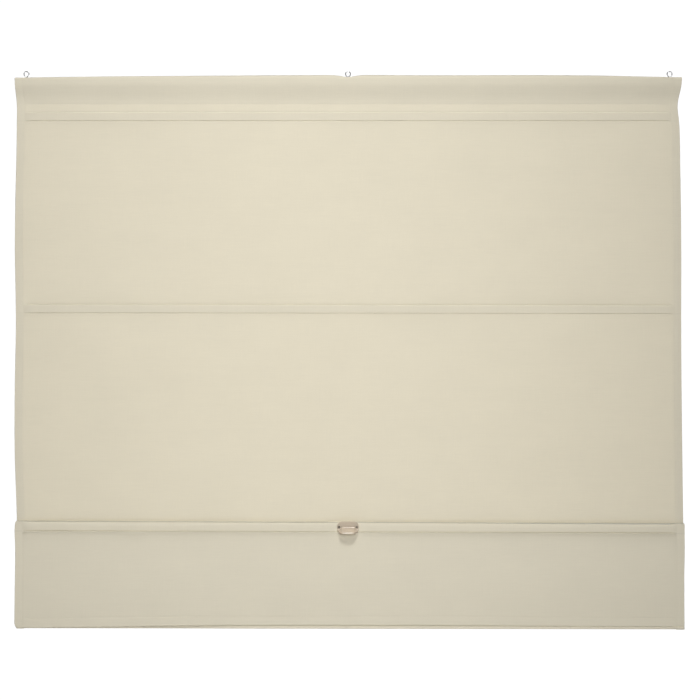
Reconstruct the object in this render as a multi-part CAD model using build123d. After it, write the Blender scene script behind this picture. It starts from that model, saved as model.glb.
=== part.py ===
from build123d import *
import os
from math import sqrt

# A cordless roman blind, hung by three screw eyes and raised by one fold.
# Frame in millimetres: the origin is the centre of the middle eye's ring, +X runs along
# the blind to the viewer's right, -Y points into the room and +Z points up.

# ---- The cloth ----
cloth_width = 1400.0
cloth_t = 0.7                # thickness of one layer
side_hem = 17.0              # turned to the back along both sides
bottom_hem = 22.0            # turned to the back along the lower edge
soft_gap = 0.3               # air between cloth and whatever lies against it
panel_y = -4.0               # middle of the cloth where it hangs below the head
bend_play = 0.05             # keeps a half-turn's two corners apart
cut_past = 1.0               # how far a cutting tool stands out of what it cuts

# ---- Heights, measured down from the top of the head ----
pocket_1_drop = 72.0         # to the upper seam of the first slat pocket
pocket_2_drop = 477.0
pocket_3_drop = 935.0
pocket_height = 18.0         # between a pocket's two seams
loop_length = 222.0          # from the third pocket's upper seam to the bottom of the fold
fold_rise = 3.0              # how far the raised fourth pocket's ridge stands above the third
ridge_to_seam = 3.0          # from that ridge down to the fourth pocket's upper seam
skirt_length = 219.0         # from the fourth pocket's ridge to the lower edge

# ---- The fold, which opens out below the raised pocket ----
loop_back = 5.5              # from the panel back to the loop's rear layer
loop_front = 9.0             # from the panel out to the loop's front layer
flare_gap = 12.0             # straight cloth below the raised pocket's lower seam
flare = 110.0                # height over which the layers part
flare_r = 200.0

# ---- The head ----
batten_depth = 22.0
batten_height = 16.0
batten_end_gap = 4.0         # from the batten's end to the cloth's side
batten_edge_r = 2.0
facing_drop = 57.0           # how far the cloth's rear facing reaches below the head's top
casing_taper = 12.3          # height over which the casing closes below the batten
casing_foot_r = 6.0

# ---- The screw eyes ----
eye_wire = 2.0
eye_ring = 12.4              # outside diameter of the ring
eye_foot = 7.6               # from the ring's centre down to where its two sides meet
eye_neck = 1.4               # from there down to the cloth
eye_shank = 2.6
eye_depth = 13.0             # screwed into the batten
eye_point = 3.0              # length of the tapered point
eye_tip = 0.5                # diameter of the point's end
eye_inset = 23.0             # from the cloth's side to the outer eyes
eye_slit = 1.6               # wire left off where the ring's free side meets its foot
thread_gap = 0.05            # between a shank and its pilot hole
eyelet_gap = 0.3             # between a shank and the hole in the cloth

# ---- Slats, tapes and magnets ----
slat_height = 14.5
slat_t = 2.6
slat_end_gap = 5.0           # from a slat's end to the side hem
slat_corner_r = 3.0
tape_t = 0.4
tape_end_gap = 1.0
tape_flange = 3.0            # tape beyond each seam
seam_width = 0.5             # tape held flat on the pocket's side of a seam
tape_play = 0.2              # between a slat's edge and the tape's step
tape_step_r = 0.5
magnet_d = 9.0
magnet_t = 2.0
magnet_gap = 0.05
magnet_inset = 254.0         # from the cloth's side to a magnet

# ---- The weight in the lower hem ----
bar_height = 11.0
bar_t = 1.5
bar_lift = 1.5               # from the fold of the hem up to the bar

# ---- The grip ----
grip_width = 45.0
grip_plate_height = 19.0
grip_plate_t = 2.2
grip_plate_edge = 0.7        # rounding of the plate's front edge
hood_width = 26.0
hood_r = 17.0                # of the hood's section
hood_wall = 1.8
hood_drop = 9.5              # from the middle of the plate down to the hood's axis
hood_lip = 7.0               # from the hood's axis down to its lip
grip_hole_spacing = 37.0
grip_screw_d = 2.4
grip_screw_gap = 0.1
grip_head_d = 4.4
grip_head_t = 1.0

# ---- Worked out from the above ----
half_width = cloth_width / 2
head_top = -(eye_foot + eye_neck)
casing_gap = cloth_t + soft_gap
batten_top = head_top - cloth_t - casing_gap
batten_bottom = batten_top - batten_height
casing_y = batten_depth / 2 + casing_gap + cloth_t / 2
casing_top = head_top - cloth_t / 2
casing_r = batten_edge_r + casing_gap + cloth_t / 2
casing_foot = batten_bottom - casing_gap
panel_start = casing_foot - casing_taper
facing_y = panel_y + 3 * cloth_t + soft_gap
facing_end = head_top - facing_drop
seams = [head_top - drop for drop in (pocket_1_drop, pocket_2_drop, pocket_3_drop)]
ridge_z = seams[2] + fold_rise
seams.append(ridge_z - ridge_to_seam)
pouch = tape_t + slat_t + 3 * soft_gap
rise_y = panel_y - cloth_t - soft_gap
skirt_y = rise_y - cloth_t - pouch
loop_bottom = seams[2] - loop_length
skirt_end = ridge_z - skirt_length
hem_step = bar_t + 2 * soft_gap + cloth_t
eye_x = half_width - eye_inset
magnet_x = half_width - magnet_inset
slat_length = cloth_width - 2 * (side_hem + slat_end_gap)
tape_length = cloth_width - 2 * (side_hem + tape_end_gap)

loop_back_y = panel_y + loop_back
loop_front_y = panel_y - loop_front
loop_r = (loop_back_y - loop_front_y) / 2 - bend_play
skirt_foot_y = loop_front_y - 2 * cloth_t - soft_gap - hem_step
flare_top = ridge_z - pocket_height - flare_gap
ridge_r = (rise_y - skirt_y) / 2 - bend_play
hem_r = hem_step / 2 - bend_play / 2


def shifted(points, radii, distance):
    """Move a bent line sideways, to the left of its travel, and keep its rounded corners."""
    runs = []
    for (y0, z0), (y1, z1) in zip(points, points[1:]):
        length = sqrt((y1 - y0) ** 2 + (z1 - z0) ** 2)
        along = ((y1 - y0) / length, (z1 - z0) / length)
        start = (y0 - along[1] * distance, z0 + along[0] * distance)
        end = (y1 - along[1] * distance, z1 + along[0] * distance)
        runs.append((start, end, along))
    moved, new_radii = [runs[0][0]], []
    for (start, _, a), (other, _, b), radius in zip(runs, runs[1:], radii):
        turn = a[0] * b[1] - a[1] * b[0]
        reach = ((other[0] - start[0]) * b[1] - (other[1] - start[1]) * b[0]) / turn
        moved.append((start[0] + a[0] * reach, start[1] + a[1] * reach))
        new_radii.append(radius - distance if turn > 0 else radius + distance)
    moved.append(runs[-1][1])
    return moved, new_radii


def sheet(points, radii, back, front, x_low, x_high):
    """A sheet that follows a bent line in the Y-Z plane, reaching back and front of it."""
    faces = []
    for distance in (back, -front):
        side_points, side_radii = shifted(points, radii, distance)
        faces.append(FilletPolyline(*side_points, radius=side_radii))
    ends = [Line(faces[0] @ end, faces[1] @ end) for end in (0, 1)]
    section = make_face(faces[0].edges() + faces[1].edges() + [line.edge() for line in ends])
    return extrude(Plane.YZ.offset(x_low) * section, x_high - x_low, dir=(1, 0, 0))


def upright_cylinder(radius, top, bottom, x=0.0, y=0.0):
    return Pos(x, y, (top + bottom) / 2) * Cylinder(radius, top - bottom)


def level_cylinder(radius, front, back, x, z):
    """A cylinder along Y, from its front end to its back end."""
    return Pos(x, (front + back) / 2, z) * Rot(90, 0, 0) * Cylinder(radius, back - front)


def block(x_size, y_low, y_high, z_low, z_high):
    centre = Pos(0, (y_low + y_high) / 2, (z_low + z_high) / 2)
    return centre * Box(x_size, y_high - y_low, z_high - z_low)


def cloth():
    """One length of cloth: rear facing, head casing, panel, fold, raised pocket and skirt."""
    hem_y = skirt_foot_y + hem_step
    points_and_radii = [
        (facing_y, facing_end, None),
        (facing_y, panel_start, casing_foot_r),
        (casing_y, casing_foot, casing_foot_r),
        (casing_y, casing_top, casing_r),
        (-casing_y, casing_top, casing_r),
        (-casing_y, casing_foot, casing_foot_r),
        (panel_y, panel_start, casing_foot_r),
        (panel_y, flare_top, flare_r),
        (loop_back_y, flare_top - flare, flare_r),
        (loop_back_y, loop_bottom + cloth_t / 2, loop_r),
        (loop_front_y, loop_bottom + cloth_t / 2, loop_r),
        (loop_front_y, flare_top - flare, flare_r),
        (rise_y, flare_top, flare_r),
        (rise_y, ridge_z - cloth_t / 2, ridge_r),
        (skirt_y, ridge_z - cloth_t / 2, ridge_r),
        (skirt_y, flare_top, flare_r),
        (skirt_foot_y, flare_top - flare, flare_r),
        (skirt_foot_y, skirt_end + cloth_t / 2, hem_r),
        (hem_y, skirt_end + cloth_t / 2, hem_r),
        (hem_y, skirt_end + bottom_hem, None),
    ]
    points = [(y, z) for y, z, _ in points_and_radii]
    radii = [r for _, _, r in points_and_radii[1:-1]]
    inner_half = half_width - side_hem
    layer = cloth_t / 2
    body = sheet(points, radii, layer, layer, -inner_half, inner_half)
    for x_low, x_high in ((-half_width, -inner_half), (inner_half, half_width)):
        body += sheet(points, radii, layer + cloth_t, layer, x_low, x_high)
    for x in (-eye_x, 0.0, eye_x):
        eyelet = eye_shank / 2 + eyelet_gap
        body -= upright_cylinder(eyelet, head_top + cut_past, batten_top, x)
    for x in (-grip_hole_spacing / 2, grip_hole_spacing / 2):
        radius = grip_screw_d / 2 + eyelet_gap
        front, back = skirt_y - cloth_t, skirt_y + cloth_t / 2 + soft_gap / 2
        body -= level_cylinder(radius, front, back, x, slat_middle(seams[3]))
    print("cloth along its middle line:", round(FilletPolyline(*points, radius=radii).length, 1))
    return body


def batten():
    """Timber in the head casing, with a pilot hole for each eye."""
    depth = batten_depth / 2
    bar = block(cloth_width - 2 * batten_end_gap, -depth, depth, batten_bottom, batten_top)
    bar = fillet(bar.edges().filter_by(Axis.X), batten_edge_r)
    for x in (-eye_x, 0.0, eye_x):
        pilot = eye_shank / 2 + thread_gap
        foot = batten_top - eye_depth - cut_past
        bar -= upright_cylinder(pilot, batten_top + cut_past, foot, x)
    return bar


def screw_eye(x):
    """Bent wire: a ring whose sides run together at its foot, on a pointed shank."""
    ring_r = (eye_ring - eye_wire) / 2
    side = sqrt(eye_foot ** 2 - ring_r ** 2)
    touch_x, touch_z = ring_r * side / eye_foot, -ring_r ** 2 / eye_foot
    near_foot = eye_slit / side
    free_end = (-touch_x * near_foot, touch_z * near_foot - eye_foot * (1 - near_foot))
    bend = Line((0, -eye_foot), (touch_x, touch_z))
    bend += ThreePointArc((touch_x, touch_z), (0, ring_r), (-touch_x, touch_z))
    bend += Line((-touch_x, touch_z), free_end)
    path = (Plane.XZ * bend).wire()
    section = Plane(path @ 0, z_dir=path % 0) * Circle(eye_wire / 2)
    ring = sweep(section, path=path)
    point_top = batten_top - eye_depth + eye_point
    shank = upright_cylinder(eye_shank / 2, -eye_foot, point_top)
    tip = Pos(0, 0, point_top - eye_point / 2) * Cone(eye_tip / 2, eye_shank / 2, eye_point)
    return Pos(x, 0, 0) * (ring + shank + tip)


def slat_middle(seam):
    return seam - pocket_height / 2


def slat(middle, front, magnet_side):
    """Stiff strip with two round seats for magnets; magnet_side is -1 for its front face."""
    back = front + slat_t
    strip = block(slat_length, front, back, middle - slat_height / 2, middle + slat_height / 2)
    strip = fillet(strip.edges().filter_by(Axis.Y), slat_corner_r)
    for x in (-magnet_x, magnet_x):
        low, high = seat_span(front, magnet_side)
        strip -= level_cylinder(magnet_d / 2 + magnet_gap, low, high, x, middle)
    return strip


def seat_span(front, magnet_side):
    """The magnet's seat across a slat, open on one face."""
    depth = magnet_t + magnet_gap
    if magnet_side < 0:
        return front - cut_past, front + depth
    return front + slat_t - depth, front + slat_t + cut_past


def magnet(x, middle, front, magnet_side):
    """Round magnet, flush with the slat's face."""
    near = front if magnet_side < 0 else front + slat_t - magnet_t
    return level_cylinder(magnet_d / 2, near, near + magnet_t, x, middle)


def tape(seam, cloth_back, top_flange):
    """Woven tape sewn to the cloth's back above and below a slat, which it holds."""
    flat_y = cloth_back + soft_gap + tape_t / 2
    bulge_y = cloth_back + 2 * soft_gap + slat_t + tape_t / 2
    middle = slat_middle(seam)
    reach = slat_height / 2 + tape_play
    points = [
        (flat_y, seam + top_flange),
        (flat_y, seam - seam_width),
        (bulge_y, middle + reach),
        (bulge_y, middle - reach),
        (flat_y, seam - pocket_height + seam_width),
        (flat_y, seam - pocket_height - tape_flange),
    ]
    layer = tape_t / 2
    radii = [tape_step_r] * (len(points) - 2)
    return sheet(points, radii, layer, layer, -tape_length / 2, tape_length / 2)


def weight_bar():
    """Flat bar that lies in the lower hem and keeps the skirt straight."""
    front = skirt_foot_y + cloth_t / 2 + soft_gap
    low = skirt_end + cloth_t + bar_lift
    bar = block(slat_length, front, front + bar_t, low, low + bar_height)
    return fillet(bar.edges().filter_by(Axis.Y), bar_t)


def grip():
    """Moulded pull: an oval plate with a hollow hood, open below for the fingertips."""
    back = skirt_y - cloth_t / 2 - soft_gap
    front = back - grip_plate_t
    middle = slat_middle(seams[3])
    oval = Plane.XZ.offset(-back) * Pos(0, middle) * Ellipse(grip_width / 2, grip_plate_height / 2)
    plate = extrude(oval, grip_plate_t, dir=(0, -1, 0))
    plate = fillet(plate.edges().group_by(Axis.Y)[0], grip_plate_edge)
    axis_z = middle - hood_drop
    lip_z = axis_z - hood_lip
    hollow = hood_form(hood_width / 2 - hood_wall, hood_r - hood_wall)
    hood = hood_form(hood_width / 2, hood_r) - hollow
    hood = Pos(0, front + grip_plate_t / 2, axis_z) * hood
    reach = 2 * hood_r
    hood &= block(reach, front - reach, front + grip_plate_t / 2, lip_z, axis_z + reach)
    body = plate + hood
    for x in (-grip_hole_spacing / 2, grip_hole_spacing / 2):
        hole = grip_screw_d / 2 + grip_screw_gap
        body -= level_cylinder(hole, front - cut_past, back + cut_past, x, middle)
        sink = grip_head_d / 2 + grip_screw_gap
        body -= level_cylinder(sink, front - cut_past, front + grip_head_t, x, middle)
    return body


def hood_form(half_length, radius):
    """A spheroid about the X axis."""
    upper_half = Pos(0, radius / 2) * Rectangle(2 * half_length, radius)
    return revolve(Ellipse(half_length, radius) & upper_half, Axis.X)


def grip_screw(x):
    """Small screw through the grip's ear and the cloth into the slat."""
    front = skirt_y - cloth_t / 2 - soft_gap - grip_plate_t
    middle = slat_middle(seams[3])
    slat_back = skirt_y + cloth_t / 2 + soft_gap + slat_t
    head = level_cylinder(grip_head_d / 2, front, front + grip_head_t, x, middle)
    shank = level_cylinder(grip_screw_d / 2, front + grip_head_t / 2, slat_back, x, middle)
    slot = Pos(x, front, middle) * Box(grip_head_d, grip_head_t, grip_head_t / 2)
    return head + shank - slot


def write(name, solid):
    solid.label = name
    export_step(solid, "parts/" + name + ".step")


def main():
    os.makedirs("parts", exist_ok=True)
    write("fabric_panel", cloth())
    write("head_batten", batten())
    for side, x in (("left", -eye_x), ("centre", 0.0), ("right", eye_x)):
        write("screw_eye_" + side, screw_eye(x))

    panel_back = panel_y + cloth_t / 2
    skirt_back = skirt_y + cloth_t / 2
    ridge_inside = ridge_z - cloth_t / 2 - ridge_r
    pockets = [(seam, panel_back, tape_flange, -1) for seam in seams[:3]]
    pockets.append((seams[3], skirt_back, ridge_inside - seams[3], 1))
    for number, (seam, cloth_back, flange, magnet_side) in enumerate(pockets, 1):
        middle = slat_middle(seam)
        front = cloth_back + soft_gap
        strip = slat(middle, front, magnet_side)
        if number == len(pockets):
            for x in (-grip_hole_spacing / 2, grip_hole_spacing / 2):
                hole = grip_screw_d / 2 + thread_gap
                low, high = front - cut_past, front + slat_t + cut_past
                strip -= level_cylinder(hole, low, high, x, middle)
        write("slat_" + str(number), strip)
        write("pocket_tape_" + str(number), tape(seam, cloth_back, flange))
        for side, x in (("left", -magnet_x), ("right", magnet_x)):
            write("magnet_%d_%s" % (number, side), magnet(x, middle, front, magnet_side))

    write("bottom_weight_bar", weight_bar())
    write("grip_pull", grip())
    for side, x in (("left", -grip_hole_spacing / 2), ("right", grip_hole_spacing / 2)):
        write("grip_screw_" + side, grip_screw(x))


main()
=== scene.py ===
from collections import namedtuple
from math import cos, pi, radians, sin

import bpy
import numpy as np
from bpy.props import FloatProperty, FloatVectorProperty, PointerProperty
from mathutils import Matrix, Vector


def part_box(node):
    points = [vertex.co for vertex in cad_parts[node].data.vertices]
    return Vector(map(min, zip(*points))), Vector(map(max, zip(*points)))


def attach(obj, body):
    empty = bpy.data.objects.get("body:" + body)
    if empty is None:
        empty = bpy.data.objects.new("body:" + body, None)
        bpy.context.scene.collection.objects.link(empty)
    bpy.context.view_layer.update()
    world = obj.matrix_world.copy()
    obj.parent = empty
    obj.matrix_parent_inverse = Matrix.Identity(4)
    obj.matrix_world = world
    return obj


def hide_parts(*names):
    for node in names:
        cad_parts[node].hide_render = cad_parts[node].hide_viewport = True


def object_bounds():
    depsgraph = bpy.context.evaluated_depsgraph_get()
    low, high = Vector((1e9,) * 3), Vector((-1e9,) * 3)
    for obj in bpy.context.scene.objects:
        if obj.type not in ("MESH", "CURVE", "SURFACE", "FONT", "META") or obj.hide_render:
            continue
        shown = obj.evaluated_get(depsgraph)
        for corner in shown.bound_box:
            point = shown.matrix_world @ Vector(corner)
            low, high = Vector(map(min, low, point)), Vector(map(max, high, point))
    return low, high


bl_info = {
    "name": "Roman blind",
    "version": (1, 0, 0),
    "blender": (4, 5, 0),
    "location": "3D View > Sidebar > Blind",
    "description": "Cloth, stitching, fittings and stage of a cordless roman blind",
    "category": "Object",
}

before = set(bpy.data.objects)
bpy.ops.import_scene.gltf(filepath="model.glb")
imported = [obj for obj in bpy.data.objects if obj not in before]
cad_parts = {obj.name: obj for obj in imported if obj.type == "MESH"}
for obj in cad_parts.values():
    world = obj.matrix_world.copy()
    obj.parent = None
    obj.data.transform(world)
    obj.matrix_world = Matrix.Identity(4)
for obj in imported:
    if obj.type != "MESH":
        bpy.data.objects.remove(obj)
cad_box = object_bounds()
MM = 0.001
RAISED = 3                      # the raised pocket, counted from 0 at the head
SEAM_GAP = 0.06 * MM            # between the cloth and a tape sewn to it


# ---------------- sizes and colours

def length(name, text, default):
    return FloatProperty(name=name, description=text, default=default, min=0.0,
                         unit="LENGTH", subtype="DISTANCE")


def colour(name, text, default):
    return FloatVectorProperty(name=name, description=text, default=default, size=3,
                               min=0.0, max=1.0, subtype="COLOR")


def share(name, text, default):
    return FloatProperty(name=name, description=text, default=default, min=0.0, max=1.0,
                         subtype="FACTOR")


class BlindSizes(bpy.types.PropertyGroup):
    """Sizes that the cloth and its stitching are made to."""
    cloth_t: length("Cloth", "Thickness of one layer", 0.7 * MM)
    side_hem: length("Side hem", "Turned to the back along both sides", 17 * MM)
    bottom_hem: length("Bottom hem", "Turned to the back along the lower edge", 22 * MM)
    pocket_height: length("Pocket", "Between a slat pocket's two seams", 18 * MM)
    soft_gap: length("Gap", "Between cloth and what lies against it", 0.3 * MM)
    facing_drop: length("Facing", "Rear facing's reach below the head's top", 57 * MM)
    loop_back: length("Fold, back", "From the panel back to the fold's rear layer", 5.5 * MM)
    loop_front: length("Fold, front", "From the panel out to the fold's front layer", 9 * MM)
    flare_gap: length("Flare gap", "Straight cloth below the raised pocket", 12 * MM)
    flare: length("Flare", "Height over which the fold's layers part", 110 * MM)
    tape_t: length("Tape", "Thickness of the pocket tape", 0.4 * MM)
    tape_flange: length("Tape flange", "Tape beyond each seam", 3 * MM)
    stitch: length("Stitch", "From one stitch to the next", 3.6 * MM)
    thread: length("Thread", "Thickness of the sewing thread", 0.42 * MM)
    head_puff: length("Head puff", "How far loose cloth rises above the batten", 6.5 * MM)
    sway: length("Sway", "Depth of the cloth's slow waves", 1.3 * MM)


class BlindColours(bpy.types.PropertyGroup):
    """Colours of the blind's materials."""
    cloth: colour("Cloth", "Plain-woven beige cloth", (0.889, 0.836, 0.690))
    tape: colour("Tape", "Woven pocket tape", (0.86, 0.83, 0.74))
    thread: colour("Thread", "Sewing thread", (0.84, 0.79, 0.66))
    wood: colour("Batten", "Planed softwood", (0.66, 0.47, 0.27))
    grain: colour("Grain", "Late wood in the batten", (0.47, 0.29, 0.14))
    wire: colour("Eyes", "Zinc-plated wire", (0.50, 0.51, 0.54))
    slat: colour("Slats", "Milky plastic", (0.88, 0.88, 0.85))
    magnet: colour("Magnets", "Nickel plating", (0.62, 0.61, 0.59))
    bar: colour("Weight bar", "Galvanised steel", (0.52, 0.54, 0.56))
    grip: colour("Grip", "Clear moulded plastic with a pink cast", (0.84, 0.74, 0.61))
    # Painted highlight: a lighter colour on the grip's lip stands in for the light its edge
    # catches.
    grip_lip_highlight: colour("Grip lip", "The grip's edge, which gathers light", (1.0, 0.93, 0.81))
    screw: colour("Screws", "Darkened steel", (0.24, 0.22, 0.20))
    floor: colour("Floor", "Pale studio floor", (0.93, 0.93, 0.92))
    glow: share("Light through", "Share of the cloth's surface that passes light", 0.15)


# ---------------- shader expressions

class Socket:
    """A node's output in an expression: each operator adds the Math node that works it out."""

    def __init__(self, recipe, link):
        self.recipe = recipe
        self.link = link

    def math(self, operation, *others):
        values = dict(enumerate((self, *others)))
        return self.recipe.node("Math", {"operation": operation}, values)

    def __add__(self, other):
        return self.math("ADD", other)

    def __sub__(self, other):
        return self.math("SUBTRACT", other)

    def __mul__(self, other):
        return self.math("MULTIPLY", other)

    def __truediv__(self, other):
        return self.math("DIVIDE", other)

    def __rsub__(self, other):
        return self.recipe.node("Math", {"operation": "SUBTRACT"}, {0: other, 1: self})

    __radd__ = __add__
    __rmul__ = __mul__

    def sine(self):
        return self.math("SINE")

    def most(self, other):
        return self.math("MAXIMUM", other)

    def least(self, other):
        return self.math("MINIMUM", other)

    def size(self):
        return self.math("ABSOLUTE")


class Recipe:
    """The nodes of one material, or of the world."""

    def __init__(self, owner):
        self.owner = owner
        owner.use_nodes = True
        self.tree = owner.node_tree
        self.tree.nodes.clear()

    def add(self, kind, settings=None, values=None):
        """A node with its settings, then the values or links of its sockets."""
        made = self.tree.nodes.new("ShaderNode" + kind)
        for name, setting in (settings or {}).items():
            setattr(made, name, setting)
        for name, value in (values or {}).items():
            if isinstance(value, Socket):
                self.tree.links.new(value.link, made.inputs[name])
            else:
                made.inputs[name].default_value = value
        return made

    def node(self, kind, settings=None, values=None, output=0):
        """One output of a new node."""
        return Socket(self, self.add(kind, settings, values).outputs[output])

    def place(self):
        """Where the surface is, in the blind's own frame."""
        return self.node("TexCoord", output="Object")

    def cut(self):
        """Where the surface was on the flat cloth: across and along it, in metres."""
        return self.node("UVMap", {"uv_map": "cut"})

    def parts(self, vector):
        """The three numbers of a vector."""
        return [Socket(self, out) for out in self.add("SeparateXYZ", values={0: vector}).outputs]

    def noise(self, vector, scale, detail=2.0, roughness=0.5):
        """Even noise; scale is its cells to the metre."""
        values = {"Vector": vector, "Scale": scale, "Detail": detail, "Roughness": roughness}
        return self.node("TexNoise", values=values)

    def grain(self, vector, per_metre, detail=2.0, roughness=0.5):
        """Noise drawn out along the axes where its scale is small."""
        stretched = self.node("Mapping", values={"Vector": vector, "Scale": per_metre})
        return self.noise(stretched, 1.0, detail, roughness)

    def ribs(self, place, pitch):
        """Even ribs from 0 to 1 along a length."""
        return (place * (2 * pi / pitch)).sine() * 0.5 + 0.5

    def blend(self, factor, one, other):
        """Mix two colours."""
        values = {0: factor, 6: one, 7: other}
        return self.node("Mix", {"data_type": "RGBA"}, values, output=2)

    def tint(self, shade, by):
        """Scale a plain colour by a varying number."""
        grey = self.node("CombineXYZ", values={0: by, 1: by, 2: by})
        return self.node("VectorMath", {"operation": "MULTIPLY"}, {0: shade, 1: grey})

    def bump(self, height, distance, strength):
        values = {"Strength": strength, "Distance": distance, "Height": height}
        return self.node("Bump", values=values)

    def solid(self, **values):
        """A Principled shader; a value's underscores stand for the spaces in its name."""
        values = {name.replace("_", " "): value for name, value in values.items()}
        return self.node("BsdfPrincipled", values=values)

    def see_through(self, passed, face, **values):
        """Let a share of the surface pass light to its other side."""
        through = self.node("BsdfTranslucent", values=values)
        return self.node("MixShader", values={0: passed, 1: face, 2: through})

    def surface(self, shader):
        self.add("OutputMaterial", values={"Surface": shader})
        return self.owner


def new_recipe(name):
    return Recipe(bpy.data.materials.new(name))


def opaque(shade):
    return (*shade, 1.0)


# ---------------- materials

def cloth_material(colours, painted_crease_shade):
    """Plain weave with slubs in both directions; part of the light goes through.

    painted_crease_shade: (length along the cloth, reach to each side, depth of the painted shade
    line that darkens the colour where a crease holds shade)."""
    r = new_recipe("beige_cloth")
    cut = r.cut()
    across, along, _ = r.parts(cut)
    weft_slub = r.grain(cut, (28.0, 620.0, 1.0))
    warp_slub = r.grain(cut, (560.0, 22.0, 1.0))
    cloud = r.grain(cut, (9.0, 13.0, 1.0), 3.0)
    streak = r.grain(cut, (4.0, 90.0, 1.0))
    turn = 2 * pi / (0.95 * MM)
    weave = (across * turn).sine() * (along * turn).sine() * 0.5 + 0.5
    shade = (0.93 + weft_slub * 0.05 + warp_slub * 0.035 + cloud * 0.045 + streak * 0.02
             - weave * 0.012)
    # Painted shade: each crease darkens the colour in a line, standing in for the shade that
    # gathers in it.
    for place, reach, depth in painted_crease_shade:
        shade = shade - (1 - ((along - place) / reach).size()).most(0.0) * depth
    tone = r.tint(colours.cloth, shade)
    normal = r.bump(weft_slub * 0.5 + warp_slub * 0.35 + weave * 0.3, 0.16 * MM, 0.8)
    face = r.solid(Base_Color=tone, Roughness=0.80 + warp_slub * 0.12, Normal=normal,
                   Specular_IOR_Level=0.22, Sheen_Weight=0.12, Sheen_Roughness=0.4)
    return r.surface(r.see_through(colours.glow, face, Color=tone, Normal=normal))


def tape_material(colours):
    """Twill tape with fine slanting ribs."""
    r = new_recipe("woven_tape")
    cut = r.cut()
    across, along, _ = r.parts(cut)
    ribs = r.ribs(across + along, 1.1 * MM)
    fuzz = r.grain(cut, (300.0, 900.0, 1.0))
    tone = r.tint(colours.tape, 0.93 + fuzz * 0.1 - ribs * 0.03)
    normal = r.bump(ribs * 0.6 + fuzz * 0.4, 0.12 * MM, 0.7)
    face = r.solid(Base_Color=tone, Roughness=0.82 + fuzz * 0.1, Normal=normal,
                   Specular_IOR_Level=0.25, Sheen_Weight=0.1)
    return r.surface(r.see_through(0.5, face, Color=tone, Normal=normal))


def thread_material(colours):
    """Twisted sewing thread."""
    r = new_recipe("sewing_thread")
    x, y, z = r.parts(r.place())
    twist = r.ribs(x + z + y, 0.5 * MM)
    return r.surface(r.solid(
        Base_Color=r.tint(colours.thread, 0.92 + twist * 0.12), Roughness=0.55 + twist * 0.1,
        Normal=r.bump(twist, 0.05 * MM, 0.5), Sheen_Weight=0.2))


def wood_material(colours):
    """Planed softwood with its grain along the batten."""
    r = new_recipe("softwood")
    place = r.place()
    rings = r.grain(place, (2.2, 260.0, 170.0), 3.0, 0.6)
    pores = r.grain(place, (40.0, 1500.0, 1500.0))
    bands = (rings * 22.0).sine() * 0.5 + 0.5
    late = bands * 0.55 + pores * 0.2
    return r.surface(r.solid(
        Base_Color=r.blend(late, opaque(colours.wood), opaque(colours.grain)),
        Roughness=0.55 + pores * 0.25, Specular_IOR_Level=0.3,
        Normal=r.bump(bands * 0.4 + pores, 0.12 * MM, 0.6)))


def plated_material(name, shade, rough, grain, dullness=0.06):
    """Plated metal: faint drawing lines, dull spots and a soft shine."""
    r = new_recipe(name)
    place = r.place()
    lines = r.grain(place, grain)
    spots = r.noise(place, 900.0, 3.0)
    return r.surface(r.solid(
        Base_Color=r.tint(shade, 0.9 + lines * 0.12 + spots * 0.08),
        Metallic=1.0 - spots * dullness, Roughness=rough + lines * 0.12 + spots * 0.06,
        Normal=r.bump(lines + spots, 0.02 * MM, 0.5)))


def slat_material(colours):
    """Extruded milky plastic with faint die lines."""
    r = new_recipe("milky_plastic")
    place = r.place()
    lines = r.grain(place, (3.0, 1400.0, 1400.0))
    tone = r.tint(colours.slat, 0.95 + r.noise(place, 60.0, 3.0) * 0.06)
    face = r.solid(Base_Color=tone, Roughness=0.35 + lines * 0.15, Specular_IOR_Level=0.45,
                   Normal=r.bump(lines, 0.03 * MM, 0.5))
    return r.surface(r.see_through(0.72, face, Color=tone))


def grip_material(colours):
    """Clear moulded plastic with a painted highlight on its lip, which stands out furthest to the
    front.
    """
    r = new_recipe("pink_clear_plastic")
    place = r.place()
    _, y, _ = r.parts(place)
    cloud = r.noise(place, 130.0, 3.0)
    flow = r.grain(place, (260.0, 60.0, 900.0))
    lip_end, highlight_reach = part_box("grip_pull")[0].y + 3.15 * MM, 1.6 * MM
    # Painted highlight: the colour lightens towards the lip's front edge.
    lip = ((lip_end - y) / highlight_reach).most(0.0).least(1.0)
    shade = r.blend(lip, opaque(colours.grip), opaque(colours.grip_lip_highlight))
    tone = r.tint(shade, 0.94 + cloud * 0.08)
    face = r.solid(Base_Color=tone, Roughness=0.16 + cloud * 0.14, IOR=1.49,
                   Transmission_Weight=0.2, Specular_IOR_Level=0.6,
                   Normal=r.bump(flow * 0.5 + cloud, 0.05 * MM, 0.4))
    return r.surface(r.see_through(0.25, face, Color=tone))


def floor_material(colours):
    """Pale seamless floor, faintly uneven."""
    r = new_recipe("studio_floor")
    haze = r.noise(r.place(), 1.5, 3.0)
    return r.surface(r.solid(
        Base_Color=r.tint(colours.floor, 0.98 + haze * 0.03), Roughness=0.6 + haze * 0.1,
        Specular_IOR_Level=0.2))


# ---------------- the cloth's shape

def smooth(low, high, value):
    """0 up to low, 1 from high on and a soft ramp between."""
    t = np.clip((value - low) / (high - low), 0.0, 1.0)
    return t * t * (3 - 2 * t)


def bell(value, middle, half):
    """1 at the middle, falling softly to nothing."""
    return np.exp(-((value - middle) / half) ** 2)


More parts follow.
